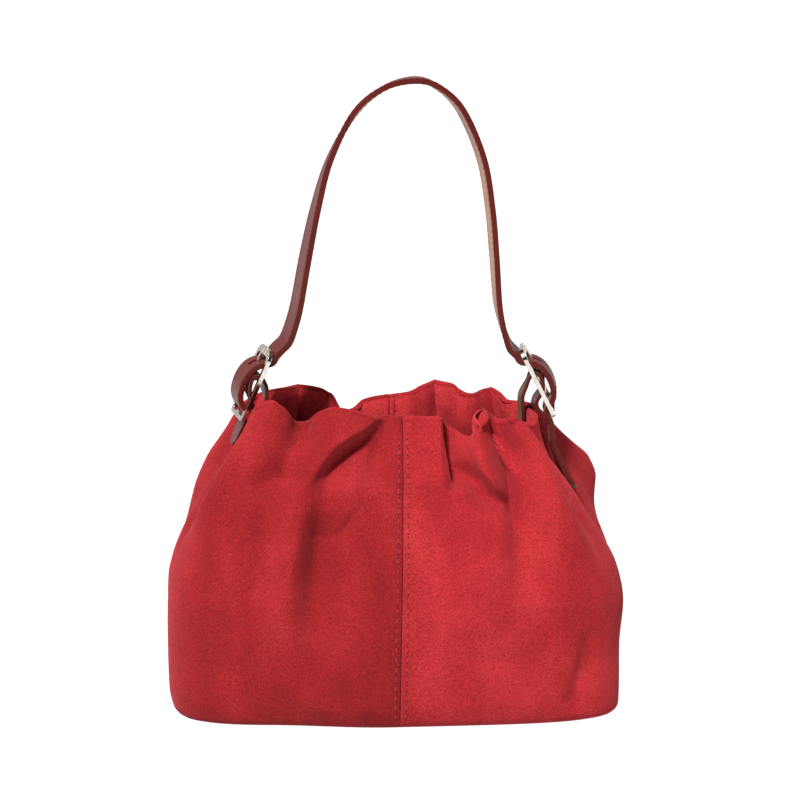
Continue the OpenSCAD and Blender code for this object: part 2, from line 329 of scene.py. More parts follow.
# Half widths of the four corners, half depths, boxiness and the folded-in end walls by height:
# z, left front, left back, right front, right back, front depth, back depth, boxiness,
# left end wall, right end wall
PROFILE = np.array([
    [0, 122, 122, 123, 123, 53, 53, 4.4, 160, 160],
    [1.5, 126, 126, 127, 127, 56.5, 56.5, 4.4, 160, 160],
    [5, 129, 129, 129, 129, 59, 59, 4.3, 160, 160],
    [16, 131, 131, 129.5, 129.5, 61.5, 61.5, 4.0, 158, 158],
    [40, 131.5, 131.5, 130, 130, 63, 62.5, 3.5, 146, 146],
    [64, 131.5, 131.5, 132, 132.5, 63, 62.5, 3.5, 135, 134],
    [87, 129, 129, 127, 132, 61, 60.5, 3.6, 127, 126],
    [100, 127, 126.5, 121, 131.5, 59, 58.5, 3.8, 120, 118],
    [112, 123, 124.5, 114, 130.5, 56.5, 56, 4.2, 111, 109],
    [126, 117, 121, 106, 131, 52.5, 51.5, 4.8, 100, 99.5],
    [140, 107, 115, 97.5, 125, 48, 46.5, 5.4, 89, 90],
    [150, 99.5, 109, 91, 113.5, 43, 42, 6, 82, 83],
    [160, 93.5, 102.5, 86, 102.5, 38.8, 39.4, 6, 79.5, 79.7],
    [168, 89.5, 97, 82.5, 94.5, 36.3, 39, 6, 79.5, 79.7],
    [RIM, 86.5, 94, 81.5, 90, 35, 39.6, 6, 79.5, 79.7]])

# Height of the rim along the front and the back
FRONT_RIM = [(-97, 162), (-91, 167), (-86, 172), (-81, 179), (-71, 183), (-64, 179), (-56, 170),
             (-47, 176), (-38, 179), (-26, 177), (-14, 173), (-8, 173.4), (1, 173), (22, 172.6),
             (30, 164), (37, 161), (41, 165.5), (48, 177), (56, 170.5), (59, 171), (64, 172.6),
             (67, 169.5), (69.5, 170.5), (72.5, 165.5), (75.5, 167), (80, 162), (86, 158)]
BACK_RIM = [(-97, 165), (-84, 173), (-70, 178), (-60, 180), (-49, 180.5), (-41, 178.5), (-36, 176),
            (-32.5, 175), (-29.5, 169.5), (-27, 165), (-22, 167.5), (-16, 171.5), (-8, 173.6),
            (0, 174.6),
            (9.7, 175.6), (14.5, 177.6), (20, 180.2), (28.6, 182), (37, 180.8), (43, 177),
            (48, 175),
            (56, 177), (62, 177.2), (67, 175), (72, 171), (80, 170), (86, 169), (96, 163)]

# Folds of the front, from the rim down: x, z, height, width on the +x side, width on the -x side
FRONT_FOLDS = [
    # the roll that hangs over on the left of the middle; its first width is the lower side
    [(-15, 174, 2, 2.5, 5), (-22, 168, 6, 2.2, 9), (-30, 163.5, 8, 2.2, 12),
     (-38.5, 157.5, 8.5, 2.4, 14),
     (-46, 148, 6.5, 3, 14), (-52, 137, 4.5, 6, 13), (-58, 121, 4.5, 8, 12), (-62, 98, 5.5, 9, 12),
     (-64, 73, 4.5, 11, 14), (-62, 45, 2, 14, 18), (-62, 25, 0, 16, 18)],
    [(-17, 167.5, -2, 3, 1.5), (-23, 162, -4, 6, 1.6), (-31, 157.5, -5, 7, 1.6),
     (-40, 150.5, -5, 8, 1.6),
     (-47.5, 141.5, -3.5, 8, 2), (-51.5, 133, -1, 8, 4), (-53, 125, 0, 9, 6)],
    [(-10.5, 173, -2.5, 3, 3), (-12, 165, -4, 4, 4), (-15, 156, -3.5, 5, 4), (-17, 147, -2, 6, 5),
     (-19, 136, 0, 7, 7)],
    [(-20, 147, 0, 8, 8), (-25, 140, 2, 9, 9), (-34, 132, 3.5, 9, 9), (-43, 123, 2, 9, 9),
     (-50, 115, 0, 10, 10)],
    [(-44, 126, -3, 12, 6), (-47, 112, -9, 17, 7), (-49, 94, -10, 20, 8), (-50, 74, -8, 20, 9),
     (-49, 50, -3, 18, 12), (-47, 32, 0, 18, 16)],
    # left shoulder
    [(-71, 185, 6, 8, 9), (-71, 172, 6, 11, 11), (-73, 159, 4, 13, 12), (-78, 148, 1, 14, 12),
     (-82, 138, 0, 16, 12)],
    [(-56, 172, -8, 5, 5), (-55.5, 165, -5, 7, 7), (-55, 157, -2, 9, 9), (-55, 148, 0, 10, 10)],
    [(-36, 181, 4, 8, 8), (-35, 172, 2.5, 9, 9), (-36, 164, 0, 10, 10)],
    [(-88, 137, -1, 6, 6), (-76, 141, -4, 7, 7), (-65, 143, -5, 7, 7), (-56, 146, -2, 6, 6)],
    [(-79, 130, -1, 10, 10), (-79, 112, -4, 12, 12), (-80, 84, -4, 12, 12), (-80, 55, 0, 14, 14)],
    [(-92, 160, 2, 6, 4), (-102, 143, 3, 7, 5), (-112, 127, 2.5, 8, 6), (-118, 110, 0, 9, 9)],
    # the flat middle ends in an edge, with a sharp pocket beside it
    [(21.5, 175, 2, 1.5, 9), (21.5, 152, 3, 1.5, 10), (22, 139, 1.5, 3, 12), (24, 125, 0, 6, 12)],
    [(24.5, 172, -5, 5, 1.2), (26, 164, -12, 5, 1.4), (27.5, 156, -14, 5, 1.6),
     (29.5, 149, -13, 4.5, 2), (30.5, 142, -8, 5, 3), (31, 133, 0, 6, 6)],
    # the tongue that hangs from the right peak, and the crescent under it
    [(48, 182, 1, 5, 5), (47, 176, 3, 5, 5), (45, 169, 7, 5, 6), (44, 159, 8, 6, 8),
     (46.5, 151, 9.5, 5.5, 8),
     (50.5, 142, 9, 4, 7), (54.5, 135, 6, 3, 4), (58, 129, 0, 4, 5)],
    [(32, 150, -3, 2, 5), (37, 146.5, -7, 2, 6), (43, 141, -8, 2, 7), (48, 136, -8, 2, 8),
     (53, 131, -7, 2, 8), (58, 126, -2, 4, 8), (63, 120, 0, 5, 8)],
    [(37, 164, -6, 4, 6), (37, 159, -2, 5, 5), (38, 154, 0, 5, 5)],
    # the long valley beside it and the swell after that
    [(50.5, 175, -4, 4, 2), (53, 162, -9, 6, 2), (56, 151, -11, 8, 2.2), (58.5, 141, -11, 9, 2.6),
     (61, 130, -11, 11, 3), (64, 119, -9, 12, 4.5), (67, 108, -7, 14, 6), (71, 89, -4, 15, 10),
     (73, 70, 0, 16, 16)],
    [(59, 175, 4, 4, 2.5), (63, 171, 7, 5, 4), (68, 163, 8, 6, 5), (73, 156, 8, 7, 6),
     (80, 143, 7, 8, 8), (87, 128, 5, 10, 10), (93, 110, 2, 12, 14), (96, 90, 0, 16, 16)],
    # narrow gathers that run down to the right side
    [(66.5, 174, -3, 2.5, 1.5), (72, 166, -4, 2.5, 1.6), (79, 156, -4, 3, 1.8), (88, 142, -5, 4, 2),
     (98, 127, -5, 5, 2.5), (108, 110, -3, 5, 4), (118, 92, -1.5, 6, 5), (122, 80, 0, 6, 8)],
    [(72, 172, -3, 1.6, 1.3), (79, 163, -4, 2, 1.4), (87, 150, -4, 3, 1.6), (98, 134, -4, 3.5, 2),
     (109, 115, -3, 4, 3), (119, 95, 0, 5, 6)],
    # soft hollows and swells lower down
    [(106, 48, -2, 7, 5), (104, 32, -4, 8, 5), (98, 14, -3, 9, 6)],
    [(-15, 8, 1, 8, 8), (-40, 14, 2, 8, 8), (-64, 26, 2, 9, 9), (-80, 44, 0, 10, 10)],
    [(43, 112, 0, 14, 14), (43, 90, 3, 16, 16), (44, 60, 3, 16, 16), (46, 40, 0, 18, 18)],
    # the seam between the panels
    [(0, 185, -1.3, 1.1, 1.1), (0, -5, -1.1, 1.1, 1.1)],
]

BACK_FOLDS = [
    [(0, 190, -1.3, 1.1, 1.1), (0, -5, -1.1, 1.1, 1.1)],
    [(-23, 168, -6, 4, 4), (-24, 158, -5, 5, 5), (-30, 140, -3, 8, 8), (-36, 110, -2, 12, 12),
     (-38, 85, 0, 14, 14)],
    [(-34, 181, 5, 3, 8), (-36, 168, 5, 5, 8), (-46, 145, 4, 9, 9), (-58, 115, 2.5, 12, 12),
     (-64, 80, 0, 14, 14)],
    [(-62, 181, -2, 5, 5), (-66, 165, -4, 6, 6), (-78, 140, -3, 9, 9), (-90, 110, 0, 12, 12)],
    [(-76, 178, 3, 6, 6), (-84, 160, 3, 7, 7), (-96, 132, 2, 9, 9), (-108, 100, 0, 12, 12)],
    [(27, 186, 8, 5, 5), (28, 168, 8, 6, 6), (34, 145, 3, 12, 12), (38, 110, 0, 14, 14)],
    [(47, 177, -5, 4, 4), (48, 163, -5, 5, 5), (55, 143, -4, 7, 7), (64, 115, -2, 10, 10),
     (70, 85, 0, 14, 14)],
    [(60, 180, 7, 4, 4), (63, 162, 6, 5, 5), (76, 138, 3, 8, 8), (90, 105, 0, 12, 12)],
    [(-54, 182, 7, 5, 5), (-55, 165, 6, 6, 6), (-60, 140, 2, 9, 9), (-64, 115, 0, 10, 10)],
    [(71, 173, -4, 3, 3), (77, 160, -3.5, 4, 4), (88, 138, -2, 7, 7), (100, 110, 0, 10, 10)],
    [(12, 178, -2, 3, 3), (12, 160, -2, 5, 5), (16, 135, -1.5, 8, 8), (18, 105, 0, 10, 10)],
]

# Folds of the two ends: y, z, height, and the two widths
END_FOLDS = [
    [(-14, 150, 1, 3, 3), (-16, 130, 2, 5, 5), (-20, 100, 1.5, 8, 8), (-22, 70, 0, 10, 10)],
    [(14, 146, 1, 3, 3), (15, 126, 2.4, 5, 5), (17, 96, 1.6, 8, 8), (20, 60, 0, 10, 10)],
    [(0, 140, -1, 5, 5), (0, 115, -2.5, 8, 8), (1, 90, -2, 10, 10), (2, 55, 0, 14, 14)],
]

COLUMNS = 340
ROWS = 170
ROLL_ROWS = 8
ROLL_RADIUS = 2.2


def outline(z, side):
    """Points of one half of the body's outline at height z, from the front seam to the back one."""
    row = [through(PROFILE[:, [0, k]], z) for k in range(1, 10)]
    front_w, back_w = (row[0], row[1]) if side < 0 else (row[2], row[3])
    front_d, back_d, box = row[4], row[5], row[6]
    wall = row[7] if side < 0 else row[8]
    a = np.linspace(-math.pi / 2, math.pi / 2, 1601)
    c, s = np.abs(np.cos(a)), np.sin(a)
    width = np.where(s < 0, front_w, back_w)
    depth = np.where(s < 0, front_d, back_d)
    x = width * c ** (2 / box)
    y = depth * np.sign(s) * np.abs(s) ** (2 / box)
    x[[0, -1]] = 0
    reach = 0.86 * depth
    bay = np.cos(np.clip(np.abs(y) / reach, 0, 1) * math.pi / 2) ** 2
    x = x - np.maximum(width - wall, 0) * bay
    length = np.concatenate([[0], np.cumsum(np.hypot(np.diff(x), np.diff(y)))])
    even = np.linspace(0, length[-1], COLUMNS)
    x, y = side * np.interp(even, length, x), np.interp(even, length, y)
    # The bottom edge is a little higher on the left of the front
    lift = smoothstep((-x - 5) / 70) * smoothstep((20 - y) / 40) * (1 - smoothstep(z / 30))
    return np.stack([x, y, z + 2.6 * lift], -1)


def grid_normals(p, side):
    """Outward unit normals of a half body's grid of points."""
    along = np.gradient(p, axis=1)
    up = np.gradient(p, axis=0)
    n = np.cross(along, up) * (1 if side > 0 else -1)
    return n / np.maximum(np.linalg.norm(n, axis=2, keepdims=True), 1e-9)


def blur(p, times):
    for _ in range(times):
        q = p.copy()
        q[1:-1] = (p[:-2] + 2 * p[1:-1] + p[2:]) / 4
        p = q.copy()
        p[:, 1:-1] = (q[:, :-2] + 2 * q[:, 1:-1] + q[:, 2:]) / 4
    return p


def gentle(push, p, slope=0.9):
    """The fold heights, lowered wherever they rise more steeply than the slope."""
    across = slope * np.linalg.norm(np.diff(p, axis=1), axis=2)
    up = slope * np.linalg.norm(np.diff(p, axis=0), axis=2)
    a = push.copy()
    for _ in range(24):
        a[:, 1:] = np.minimum(a[:, 1:], a[:, :-1] + across)
        a[:, :-1] = np.minimum(a[:, :-1], a[:, 1:] + across)
        a[1:] = np.minimum(a[1:], a[:-1] + up)
        a[:-1] = np.minimum(a[:-1], a[1:] + up)
    return a


def rim_lift(x, y):
    """How far the gathered rim stands above or below its mean height."""
    back = smoothstep((y + 15) / 30)
    lift = (1 - back) * through(FRONT_RIM, x) + back * through(BACK_RIM, x) - RIM
    at_end = 1 - smoothstep((np.abs(y) - 21) / 11)
    at_end = at_end * smoothstep((np.abs(x) - 66) / 10)
    return lift * (1 - at_end) - 1.5 * at_end


def half_body(side):
    """The folded outer surface of one half of the body, and its outward normals."""
    z = RIM * (1 - (1 - np.linspace(0, 1, ROWS)) ** 1.25)
    z[0] = 0
    p = np.stack([outline(v, side) for v in z])
    share = smoothstep((p[..., 2] - 100) / (RIM - 100))
    p[..., 2] += share * rim_lift(p[-1, :, 0], p[-1, :, 1])[None, :]
    n = grid_normals(blur(p, 3), side)
    x, y, h = p[..., 0], p[..., 1], p[..., 2]
    to_front = smoothstep((-n[..., 1] + 0.15) / 0.5) * (y < 0)
    to_back = smoothstep((n[..., 1] + 0.15) / 0.5) * (y > 0)
    to_end = smoothstep((side * n[..., 0] - 0.3) / 0.5)
    push = to_front * sum(fold(x, h, path) for path in FRONT_FOLDS)
    push += to_back * sum(fold(x, h, path) for path in BACK_FOLDS)
    push += to_end * sum(fold(y, h, path) for path in END_FOLDS)
    push = blur(push[..., None], 1)[..., 0] * smoothstep(h / 14)
    push[:, [0, -1]] = np.minimum(push[:, [0, -1]], 0)
    inner = p + gentle(push, p)[..., None] * n
    p = p + push[..., None] * n
    p[:, [0, -1], 0] = inner[:, [0, -1], 0] = 0
    return p, grid_normals(p, side), inner


def rim_roll(p, n):
    """Rows that carry the surface over the rim, down to where the facing starts."""
    edge, out = p[-1], blur(n, 2)[-1].copy()
    out[:, 2] = 0
    out /= np.linalg.norm(out, axis=1, keepdims=True)
    up = np.array([0, 0, 1.0])
    rows = []
    for k in range(1, ROLL_ROWS + 1):
        a = math.pi * k / ROLL_ROWS
        rows.append(edge + ROLL_RADIUS * ((math.cos(a) - 1) * out + math.sin(a) * up))
    rows = np.stack(rows)
    rows[:, [0, -1], 0] = 0
    return np.concatenate([p, rows])


def ripple(p, seed, waves, wavelength, height):
    """A soft random swell, the same on every run: a sum of plane waves."""
    rng = np.random.default_rng(seed)
    total = np.zeros(p.shape[:2])
    for _ in range(waves):
        d = rng.normal(size=3)
        d /= np.linalg.norm(d)
        length = wavelength * rng.uniform(0.7, 1.5)
        total += np.sin(2 * math.pi * (p @ d) / length + rng.uniform(0, 2 * math.pi))
    return height * total / math.sqrt(waves)


def seam_drift(x, y, z):
    """The front seam runs a little askew."""
    return (y < 0) * np.exp(-(x / 45) ** 2) * through([(0, -1.2), (110, 0.6), (RIM, 2.2)], z)


PANEL_T = 1.0


def body_panel(side, name, material):
    p, n, inner = half_body(side)
    points = rim_roll(p, n)
    points[..., 0] += seam_drift(points[..., 0], points[..., 1], points[..., 2])
    rows, columns = points.shape[:2]
    obj = grid_object(name + "_panel", points * MM, rows, columns, flip=side < 0)
    paint(obj, material)
    modifier(obj, "SOLIDIFY", thickness=PANEL_T * MM, offset=-1)
    place_piece(obj, "bag", "suede", name + "_body_panel")
    return (p, grid_normals(blur(p, 6), side)), (inner, grid_normals(blur(inner, 6), side))


def inner_layer(name, half, side, low, high, inset, thickness, material, extra=None):
    """A layer along the inside of the body's wall, between two heights of the unlifted wall."""
    p, n = half
    level = np.array([row for row in range(ROWS) if low <= BODY_Z[row] <= high])
    depth = inset + (extra(p[level])[..., None] if extra else 0)
    q = p[level] - depth * n[level]
    q[:, [0, -1], 0] = 0
    q[..., 0] += seam_drift(q[..., 0], q[..., 1], q[..., 2])
    rows, columns = q.shape[:2]
    obj = grid_object(name, q * MM, rows, columns, flip=side < 0)
    paint(obj, material)
    modifier(obj, "SOLIDIFY", thickness=thickness * MM, offset=-1)
    return obj


def filled_outline(name, z, scale, rise, material, thickness):
    """A floor inside the body's outline: rings that shrink to the middle."""
    right, left = outline(z, 1), outline(z, -1)
    ring = np.concatenate([right[:-1:4], left[:0:-4]])
    rings = np.stack([ring * [k, k, 1] for k in scale * np.linspace(1, 0.02, 16)])
    rings[..., 2] += rise(rings)
    obj = grid_object(name, rings * MM, *rings.shape[:2], closed=True, flip=True)
    paint(obj, material)
    modifier(obj, "SOLIDIFY", thickness=thickness * MM, offset=0)
    return obj


# ---------------------------------------------------------------- leather strips

# Buckle places: bar's X and Z, lean of the frame and roll of its outer face, in degrees
LEFT = (-79.9, 193.5, 24.0, 12.0)
RIGHT = (81.8, 193.0, 27.0, 9.0)
THREAD = [(-24, -4.5, 0.6), (-20, -3, 0.6), (-18.4, -0.8, 0.8), (-17.3, 1.8, 1), (-15, 4.2, 1),
          (-11.5, 5.9, 1), (-6, 6.8, 1), (-1, 6.6, 1), (3.5, 5.4, 1), (7, 3.2, 1), (9.2, 0.6, 1),
          (10.6, -1.8, 1), (12.7, -3.8, 1), (16.5, -4.3, 1), (21, -5.8, 1)]
LEFT_TAIL = [(-41, -4.3, 0.5), (-36, -4.3, 0.5), (-30, -4.3, 0.5)]
RIGHT_STUB = [(-27.5, -4.3, 0.5)]
ARCH = [(-62, 214.5, -0.2, 0.07), (-58.7, 223, -0.19, 0.06), (-55.5, 235, -0.18, 0.06),
        (-50.5, 262, -0.16, 0.05), (-44.5, 290, -0.1, 0.03), (-36.5, 317, 0, 0),
        (-22, 343.5, 0.1, -0.07), (-5, 357.5, 0.06, -0.04), (13, 361.7, 0, 0.03),
        (26, 357, -0.03, 0), (38.5, 344, -0.05, -0.02), (50, 317, -0.05, -0.02),
        (55, 289, -0.04, 0), (57.5, 262, -0.03, 0), (59.5, 236, 0, 0), (62, 223, 0.05, 0.02),
        (65, 213.5, 0.1, 0.05)]
TAIL = [(91.4, 156, 0.06, 0.03), (92.3, 152, 0.05, 0.02), (95, 145.5, 0.03, 0),
        (99.5, 135.5, 0, 0), (105, 126, 0, 0)]
STRAP_HALF = 10.0
LAYER_T = 1.6
TAB_HALF = 9.0
TAB_T = 2.0
RIVET_Z = 160.0
# Tab legs: distance from the middle, height, turn; the loop's points are from the bar
TAB_OUTER = [(81.3, RIVET_Z - TAB_HALF, 0), (81.3, 165, 0), (81.3, 174, 0), (82.1, 179, 0.2)]
TAB_LOOP = [(4, -8.5, 0.7), (4.4, -4.5, 1), (3.6, -0.8, 1), (2.1, 1.4, 1), (0, 2.1, 1),
            (-2.1, 1.3, 1), (-3.7, -1.2, 1), (-5, -5, 1)]
TAB_INNER = [(73.9, 182, 0.3), (73.5, 177, 0), (73.9, 171, 0), (73.9, 165, 0),
             (73.9, RIVET_Z - TAB_HALF, 0)]


def side_of(place):
    return math.copysign(1, place[0])


def cross_lean(place):
    lean, roll = math.radians(place[2]), math.radians(place[3])
    return math.tan(roll) * np.array([side_of(place) * math.cos(lean), math.sin(lean)])


def local(place, s, n):
    """X and Z of a point along the frame (s) and outwards from it (n)."""
    a, k = math.radians(place[2]), side_of(place)
    return np.array([place[0] + k * (-s * math.sin(a) + n * math.cos(a)),
                     place[1] + s * math.cos(a) + n * math.sin(a)])


def at_buckle(place, rows):
    return [(*local(place, s, n), *(share * cross_lean(place))) for s, n, share in rows]


def smooth_route(points, step):
    """A smooth curve through rows of numbers, resampled evenly along its first two."""
    v = np.array(points, float)
    dense = []
    for i in range(len(v) - 1):
        a, b, c, d = v[max(i - 1, 0)], v[i], v[i + 1], v[min(i + 2, len(v) - 1)]
        for t in np.arange(0, 1, 0.05):
            dense.append(0.5 * (2 * b + (c - a) * t + (2 * a - 5 * b + 4 * c - d) * t * t
                                + (3 * b - a - 3 * c + d) * t ** 3))
    dense = np.array(dense + [v[-1]])
    length = np.concatenate([[0], np.cumsum(np.hypot(*np.diff(dense[:, :2], axis=0).T))])
    even = np.linspace(0, length[-1], max(8, int(length[-1] / step)))
    return np.stack([np.interp(even, length, dense[:, k]) for k in range(dense.shape[1])], -1)


def strip_frames(route):
    """Middle, through direction, across direction and running length of a strip's route."""
    middle = np.stack([route[:, 0], 0 * route[:, 0], route[:, 1]], -1)
    along = np.gradient(middle, axis=0)
    along /= np.linalg.norm(along, axis=1, keepdims=True)
    across = np.stack([route[:, 2], np.ones(len(route)), route[:, 3]], -1)
    across /= np.linalg.norm(across, axis=1, keepdims=True)
    out = np.stack([-along[:, 2], 0 * along[:, 0], along[:, 0]], -1)
    out -= np.sum(out * across, 1, keepdims=True) * across
    out /= np.linalg.norm(out, axis=1, keepdims=True)
    length = np.concatenate([[0], np.cumsum(np.linalg.norm(np.diff(middle, axis=0), axis=1))])
    return middle, out, across, length


def leather_strip(name, route, half, low, high, materials, hole=None, ends=(0, 0), edge=0.7,
                  foot=None):
    """A strip of leather from low to high through its thickness, with rounded edges.

    hole(x, z) is true where the middle 3.4 mm is cut out. ends are the lengths over which the
    two ends round off. foot rounds both ends about a rivet at that height.
    """
    middle, out, across, length = strip_frames(route)
    columns = np.array([-1, -0.93, -0.7, -0.45, -0.17, 0.17, 0.45, 0.7, 0.93, 1]) * half
    width = np.ones(len(route))
    for end, away in ((ends[0], length), (ends[1], length[-1] - length)):
        if end:
            t = np.clip(away / end, 0.02, 1)
            width *= np.sqrt(t * (2 - t))
    if foot:
        below = np.clip(foot - route[:, 1], 0, half * 0.995)
        width *= np.sqrt(1 - (below / half) ** 2)
    points = (middle + high * out)[:, None] \
        + (columns[None, :] * width[:, None])[..., None] * across[:, None]
    rows = len(route)
    faces = grid_faces(rows, len(columns))[:, ::-1]
    if hole:
        row = np.repeat(np.arange(rows - 1), len(columns) - 1)
        column = np.tile(np.arange(len(columns) - 1), rows - 1)
        cut = np.array([hole(*route[i, :2]) for i in range(rows)])
        faces = faces[~((column == 4) & cut[row])]
    obj = mesh_object(name, points.reshape(-1, 3) * MM, faces.tolist())
    lie = obj.data.attributes.new("lie", "FLOAT_VECTOR", "POINT")
    values = np.stack([np.tile(columns, rows), np.repeat(length, len(columns)),
                       np.zeros(rows * len(columns))], -1)
    lie.data.foreach_set("vector", values.ravel())
    paint(obj, *materials)
    modifier(obj, "SOLIDIFY", thickness=(high - low) * MM, offset=-1, material_offset=1,
             material_offset_rim=2)
    modifier(obj, "BEVEL", width=edge * MM, segments=3, limit_method="ANGLE",
             angle_limit=math.radians(50), material=2, use_clamp_overlap=True)
    return obj


def tab_route(place):
    k, lean = side_of(place), cross_lean(place)
    loop = [(k * place[0] + x, place[1] + z, turn) for x, z, turn in TAB_LOOP]
    rows = TAB_OUTER + loop + TAB_INNER
    if k < 0:
        rows = rows[::-1]
    return [(k * x, z, turn * lean[0], turn * lean[1]) for x, z, turn in rows]


# ---------------------------------------------------------------- stitches

def rounded_bar(length, radius, sides=6):
    """Points and faces of a short thread along X: a tube with rounded ends."""
    rings = [(-0.5, 0.02), (-0.46, 0.7), (-0.3, 1), (0.3, 1), (0.46, 0.7), (0.5, 0.02)]
    a = np.arange(sides) * 2 * math.pi / sides
    points = [(x * length, r * radius * math.cos(t), r * radius * math.sin(t))
              for x, r in rings for t in a]
    return np.array(points), grid_faces(len(rings), sides, closed=True)


def bead(radius, depth, sides=8):
    """A low round bead in the XY plane."""
    rings = [(1, -0.2), (0.85, 0.4), (0.45, 0.9), (0.02, 1)]
    a = np.arange(sides) * 2 * math.pi / sides
    points = [(r * radius * math.cos(t), r * radius * math.sin(t), h * depth)
              for r, h in rings for t in a]
    return np.array(points), grid_faces(len(rings), sides, closed=True)


def scatter(name, template, places, material):
    """Copies of a template at places: (point, x direction, z direction), in millimetres."""
    points, faces = template
    all_points, all_faces = [], []
    for k, (origin, x, z) in enumerate(places):
        x = x / np.linalg.norm(x)
        y = np.cross(z, x)
        y /= np.linalg.norm(y)
        z = np.cross(x, y)
        all_points.append(origin + points @ np.stack([x, y, z]))
        all_faces.append(faces + k * len(points))
    obj = mesh_object(name, np.concatenate(all_points) * MM, np.concatenate(all_faces).tolist())
    paint(obj, material)
    return obj


def along_line(line, normals, pitch, length):
    """Places of stitches along a line of points: middle, direction, normal."""
    gone = np.concatenate([[0], np.cumsum(np.linalg.norm(np.diff(line, axis=0), axis=1))])

    def at(values, s):
        return np.array([np.interp(s, gone, values[:, k]) for k in range(3)])

    count = int((gone[-1] - pitch) / pitch)
    return [(at(line, s), at(line, s + length / 2) - at(line, s - length / 2), at(normals, s))
            for s in pitch * (0.6 + np.arange(count))]


def needle_holes(stitches, length, radius):
    return [(origin + end * length / 2 * along / np.linalg.norm(along), along, normal)
            for origin, along, normal in stitches for end in (-1, 1)]


# ---------------------------------------------------------------- leather, metal and thread

def leather_material(name, colour, light, roughness, groove=0.0):
    """Smooth leather: pebbled grain, faint mottling and a creased line near each edge."""
    material, nodes, links = new_material(name)
    shader = nodes["Principled BSDF"]
    shade = noise(nodes, links, 60, 4.0, 0.6)
    base = ramp(nodes, links, shade, [(0.3, colour), (0.7, light)])
    cells = nodes.new("ShaderNodeTexVoronoi")
    cells.inputs["Scale"].default_value = 900
    coords = nodes.new("ShaderNodeTexCoord")
    links.new(coords.outputs["Object"], cells.inputs["Vector"])
    grain = noise(nodes, links, 1500, 2.0, 0.6)
    links.new(base, shader.inputs["Base Color"])
    shader.inputs["Roughness"].default_value = roughness
    shader.inputs["Specular IOR Level"].default_value = 0.28
    shader.inputs["Specular Tint"].default_value = (1.0, 0.74, 0.6, 1)
    heights = [(cells.outputs["Distance"], 0.00012), (grain, 0.00006)]
    if groove:
        lie = nodes.new("ShaderNodeAttribute")
        lie.attribute_name = "lie"
        split = nodes.new("ShaderNodeSeparateXYZ")
        links.new(lie.outputs["Vector"], split.inputs["Vector"])
        away = math_node(nodes, links, "ABSOLUTE", split.outputs["X"])
        off = math_node(nodes, links, "SUBTRACT", away, groove)
        off = math_node(nodes, links, "ABSOLUTE", off)
        line = nodes.new("ShaderNodeMapRange")
        line.inputs["From Min"].default_value = 0.15
        line.inputs["From Max"].default_value = 0.55
        links.new(off, line.inputs["Value"])
        heights.append((line.outputs["Result"], 0.00025))
    links.new(bump(nodes, links, heights), shader.inputs["Normal"])
    return material


def math_node(nodes, links, operation, a, b=None):
    node = nodes.new("ShaderNodeMath")
    node.operation = operation
    for socket, value in zip(node.inputs, (a, b)):
        if isinstance(value, (int, float)):
            socket.default_value = value
        elif value is not None:
            links.new(value, socket)
    return node.outputs["Value"]


def metal_material(name, colour, roughness, brush=(1, 1, 1)):
    """Plated metal with faint brushing and smudges."""
    material, nodes, links = new_material(name)
    shader = nodes["Principled BSDF"]
    shader.inputs["Metallic"].default_value = 1.0
    shader.inputs["Roughness"].default_value = roughness
    smudge = noise(nodes, links, 300, 3.0, 0.6)
    tone = ramp(nodes, links, smudge, [(0.3, tuple(0.88 * c for c in colour)), (0.65, colour)])
    links.new(tone, shader.inputs["Base Color"])
    scratch = noise(nodes, links, 2200, 2.0, 0.5, stretch=brush)
    edge = nodes.new("ShaderNodeBevel")
    edge.samples = 6
    edge.inputs["Radius"].default_value = 0.0004
    links.new(bump(nodes, links, [(scratch, 0.00002)], edge.outputs["Normal"]),
              shader.inputs["Normal"])
    return material


def cloth_material(name, colour, weave):
    """Plain woven cloth: crossing threads from two wave textures, and a faint mottle."""
    material, nodes, links = new_material(name)
    shader = nodes["Principled BSDF"]
    coords = nodes.new("ShaderNodeTexCoord")
    waves = []
    for direction in ("X", "Z"):
        wave = nodes.new("ShaderNodeTexWave")
        wave.bands_direction = direction
        wave.inputs["Scale"].default_value = weave
        wave.inputs["Distortion"].default_value = 0.6
        links.new(coords.outputs["Object"], wave.inputs["Vector"])
        waves.append(wave.outputs["Fac"])
    cross = math_node(nodes, links, "MULTIPLY", waves[0], waves[1])
    dark = tuple(0.6 * c for c in colour)
    tone = ramp(nodes, links, cross, [(0.0, dark), (0.8, colour)])
    mottle = ramp(nodes, links, noise(nodes, links, 40), [(0.3, (0.85,) * 3), (0.7, (1.1,) * 3)])
    links.new(mix(nodes, links, "MULTIPLY", 1.0, tone, mottle), shader.inputs["Base Color"])
    shader.inputs["Roughness"].default_value = 0.85
    links.new(bump(nodes, links, [(cross, 0.0002)]), shader.inputs["Normal"])
    return material


def thread_material(name, colour):
    """Twisted thread."""
    material, nodes, links = new_material(name)
    shader = nodes["Principled BSDF"]
    twist = noise(nodes, links, 2500, 1.0, 0.5)
    dark = tuple(0.7 * c for c in colour)
    links.new(ramp(nodes, links, twist, [(0.35, dark), (0.65, colour)]),
              shader.inputs["Base Color"])
    shader.inputs["Roughness"].default_value = 0.7
    links.new(bump(nodes, links, [(twist, 0.0001)]), shader.inputs["Normal"])
    return material


# ---------------------------------------------------------------- the scene

make_camera()
make_stage()
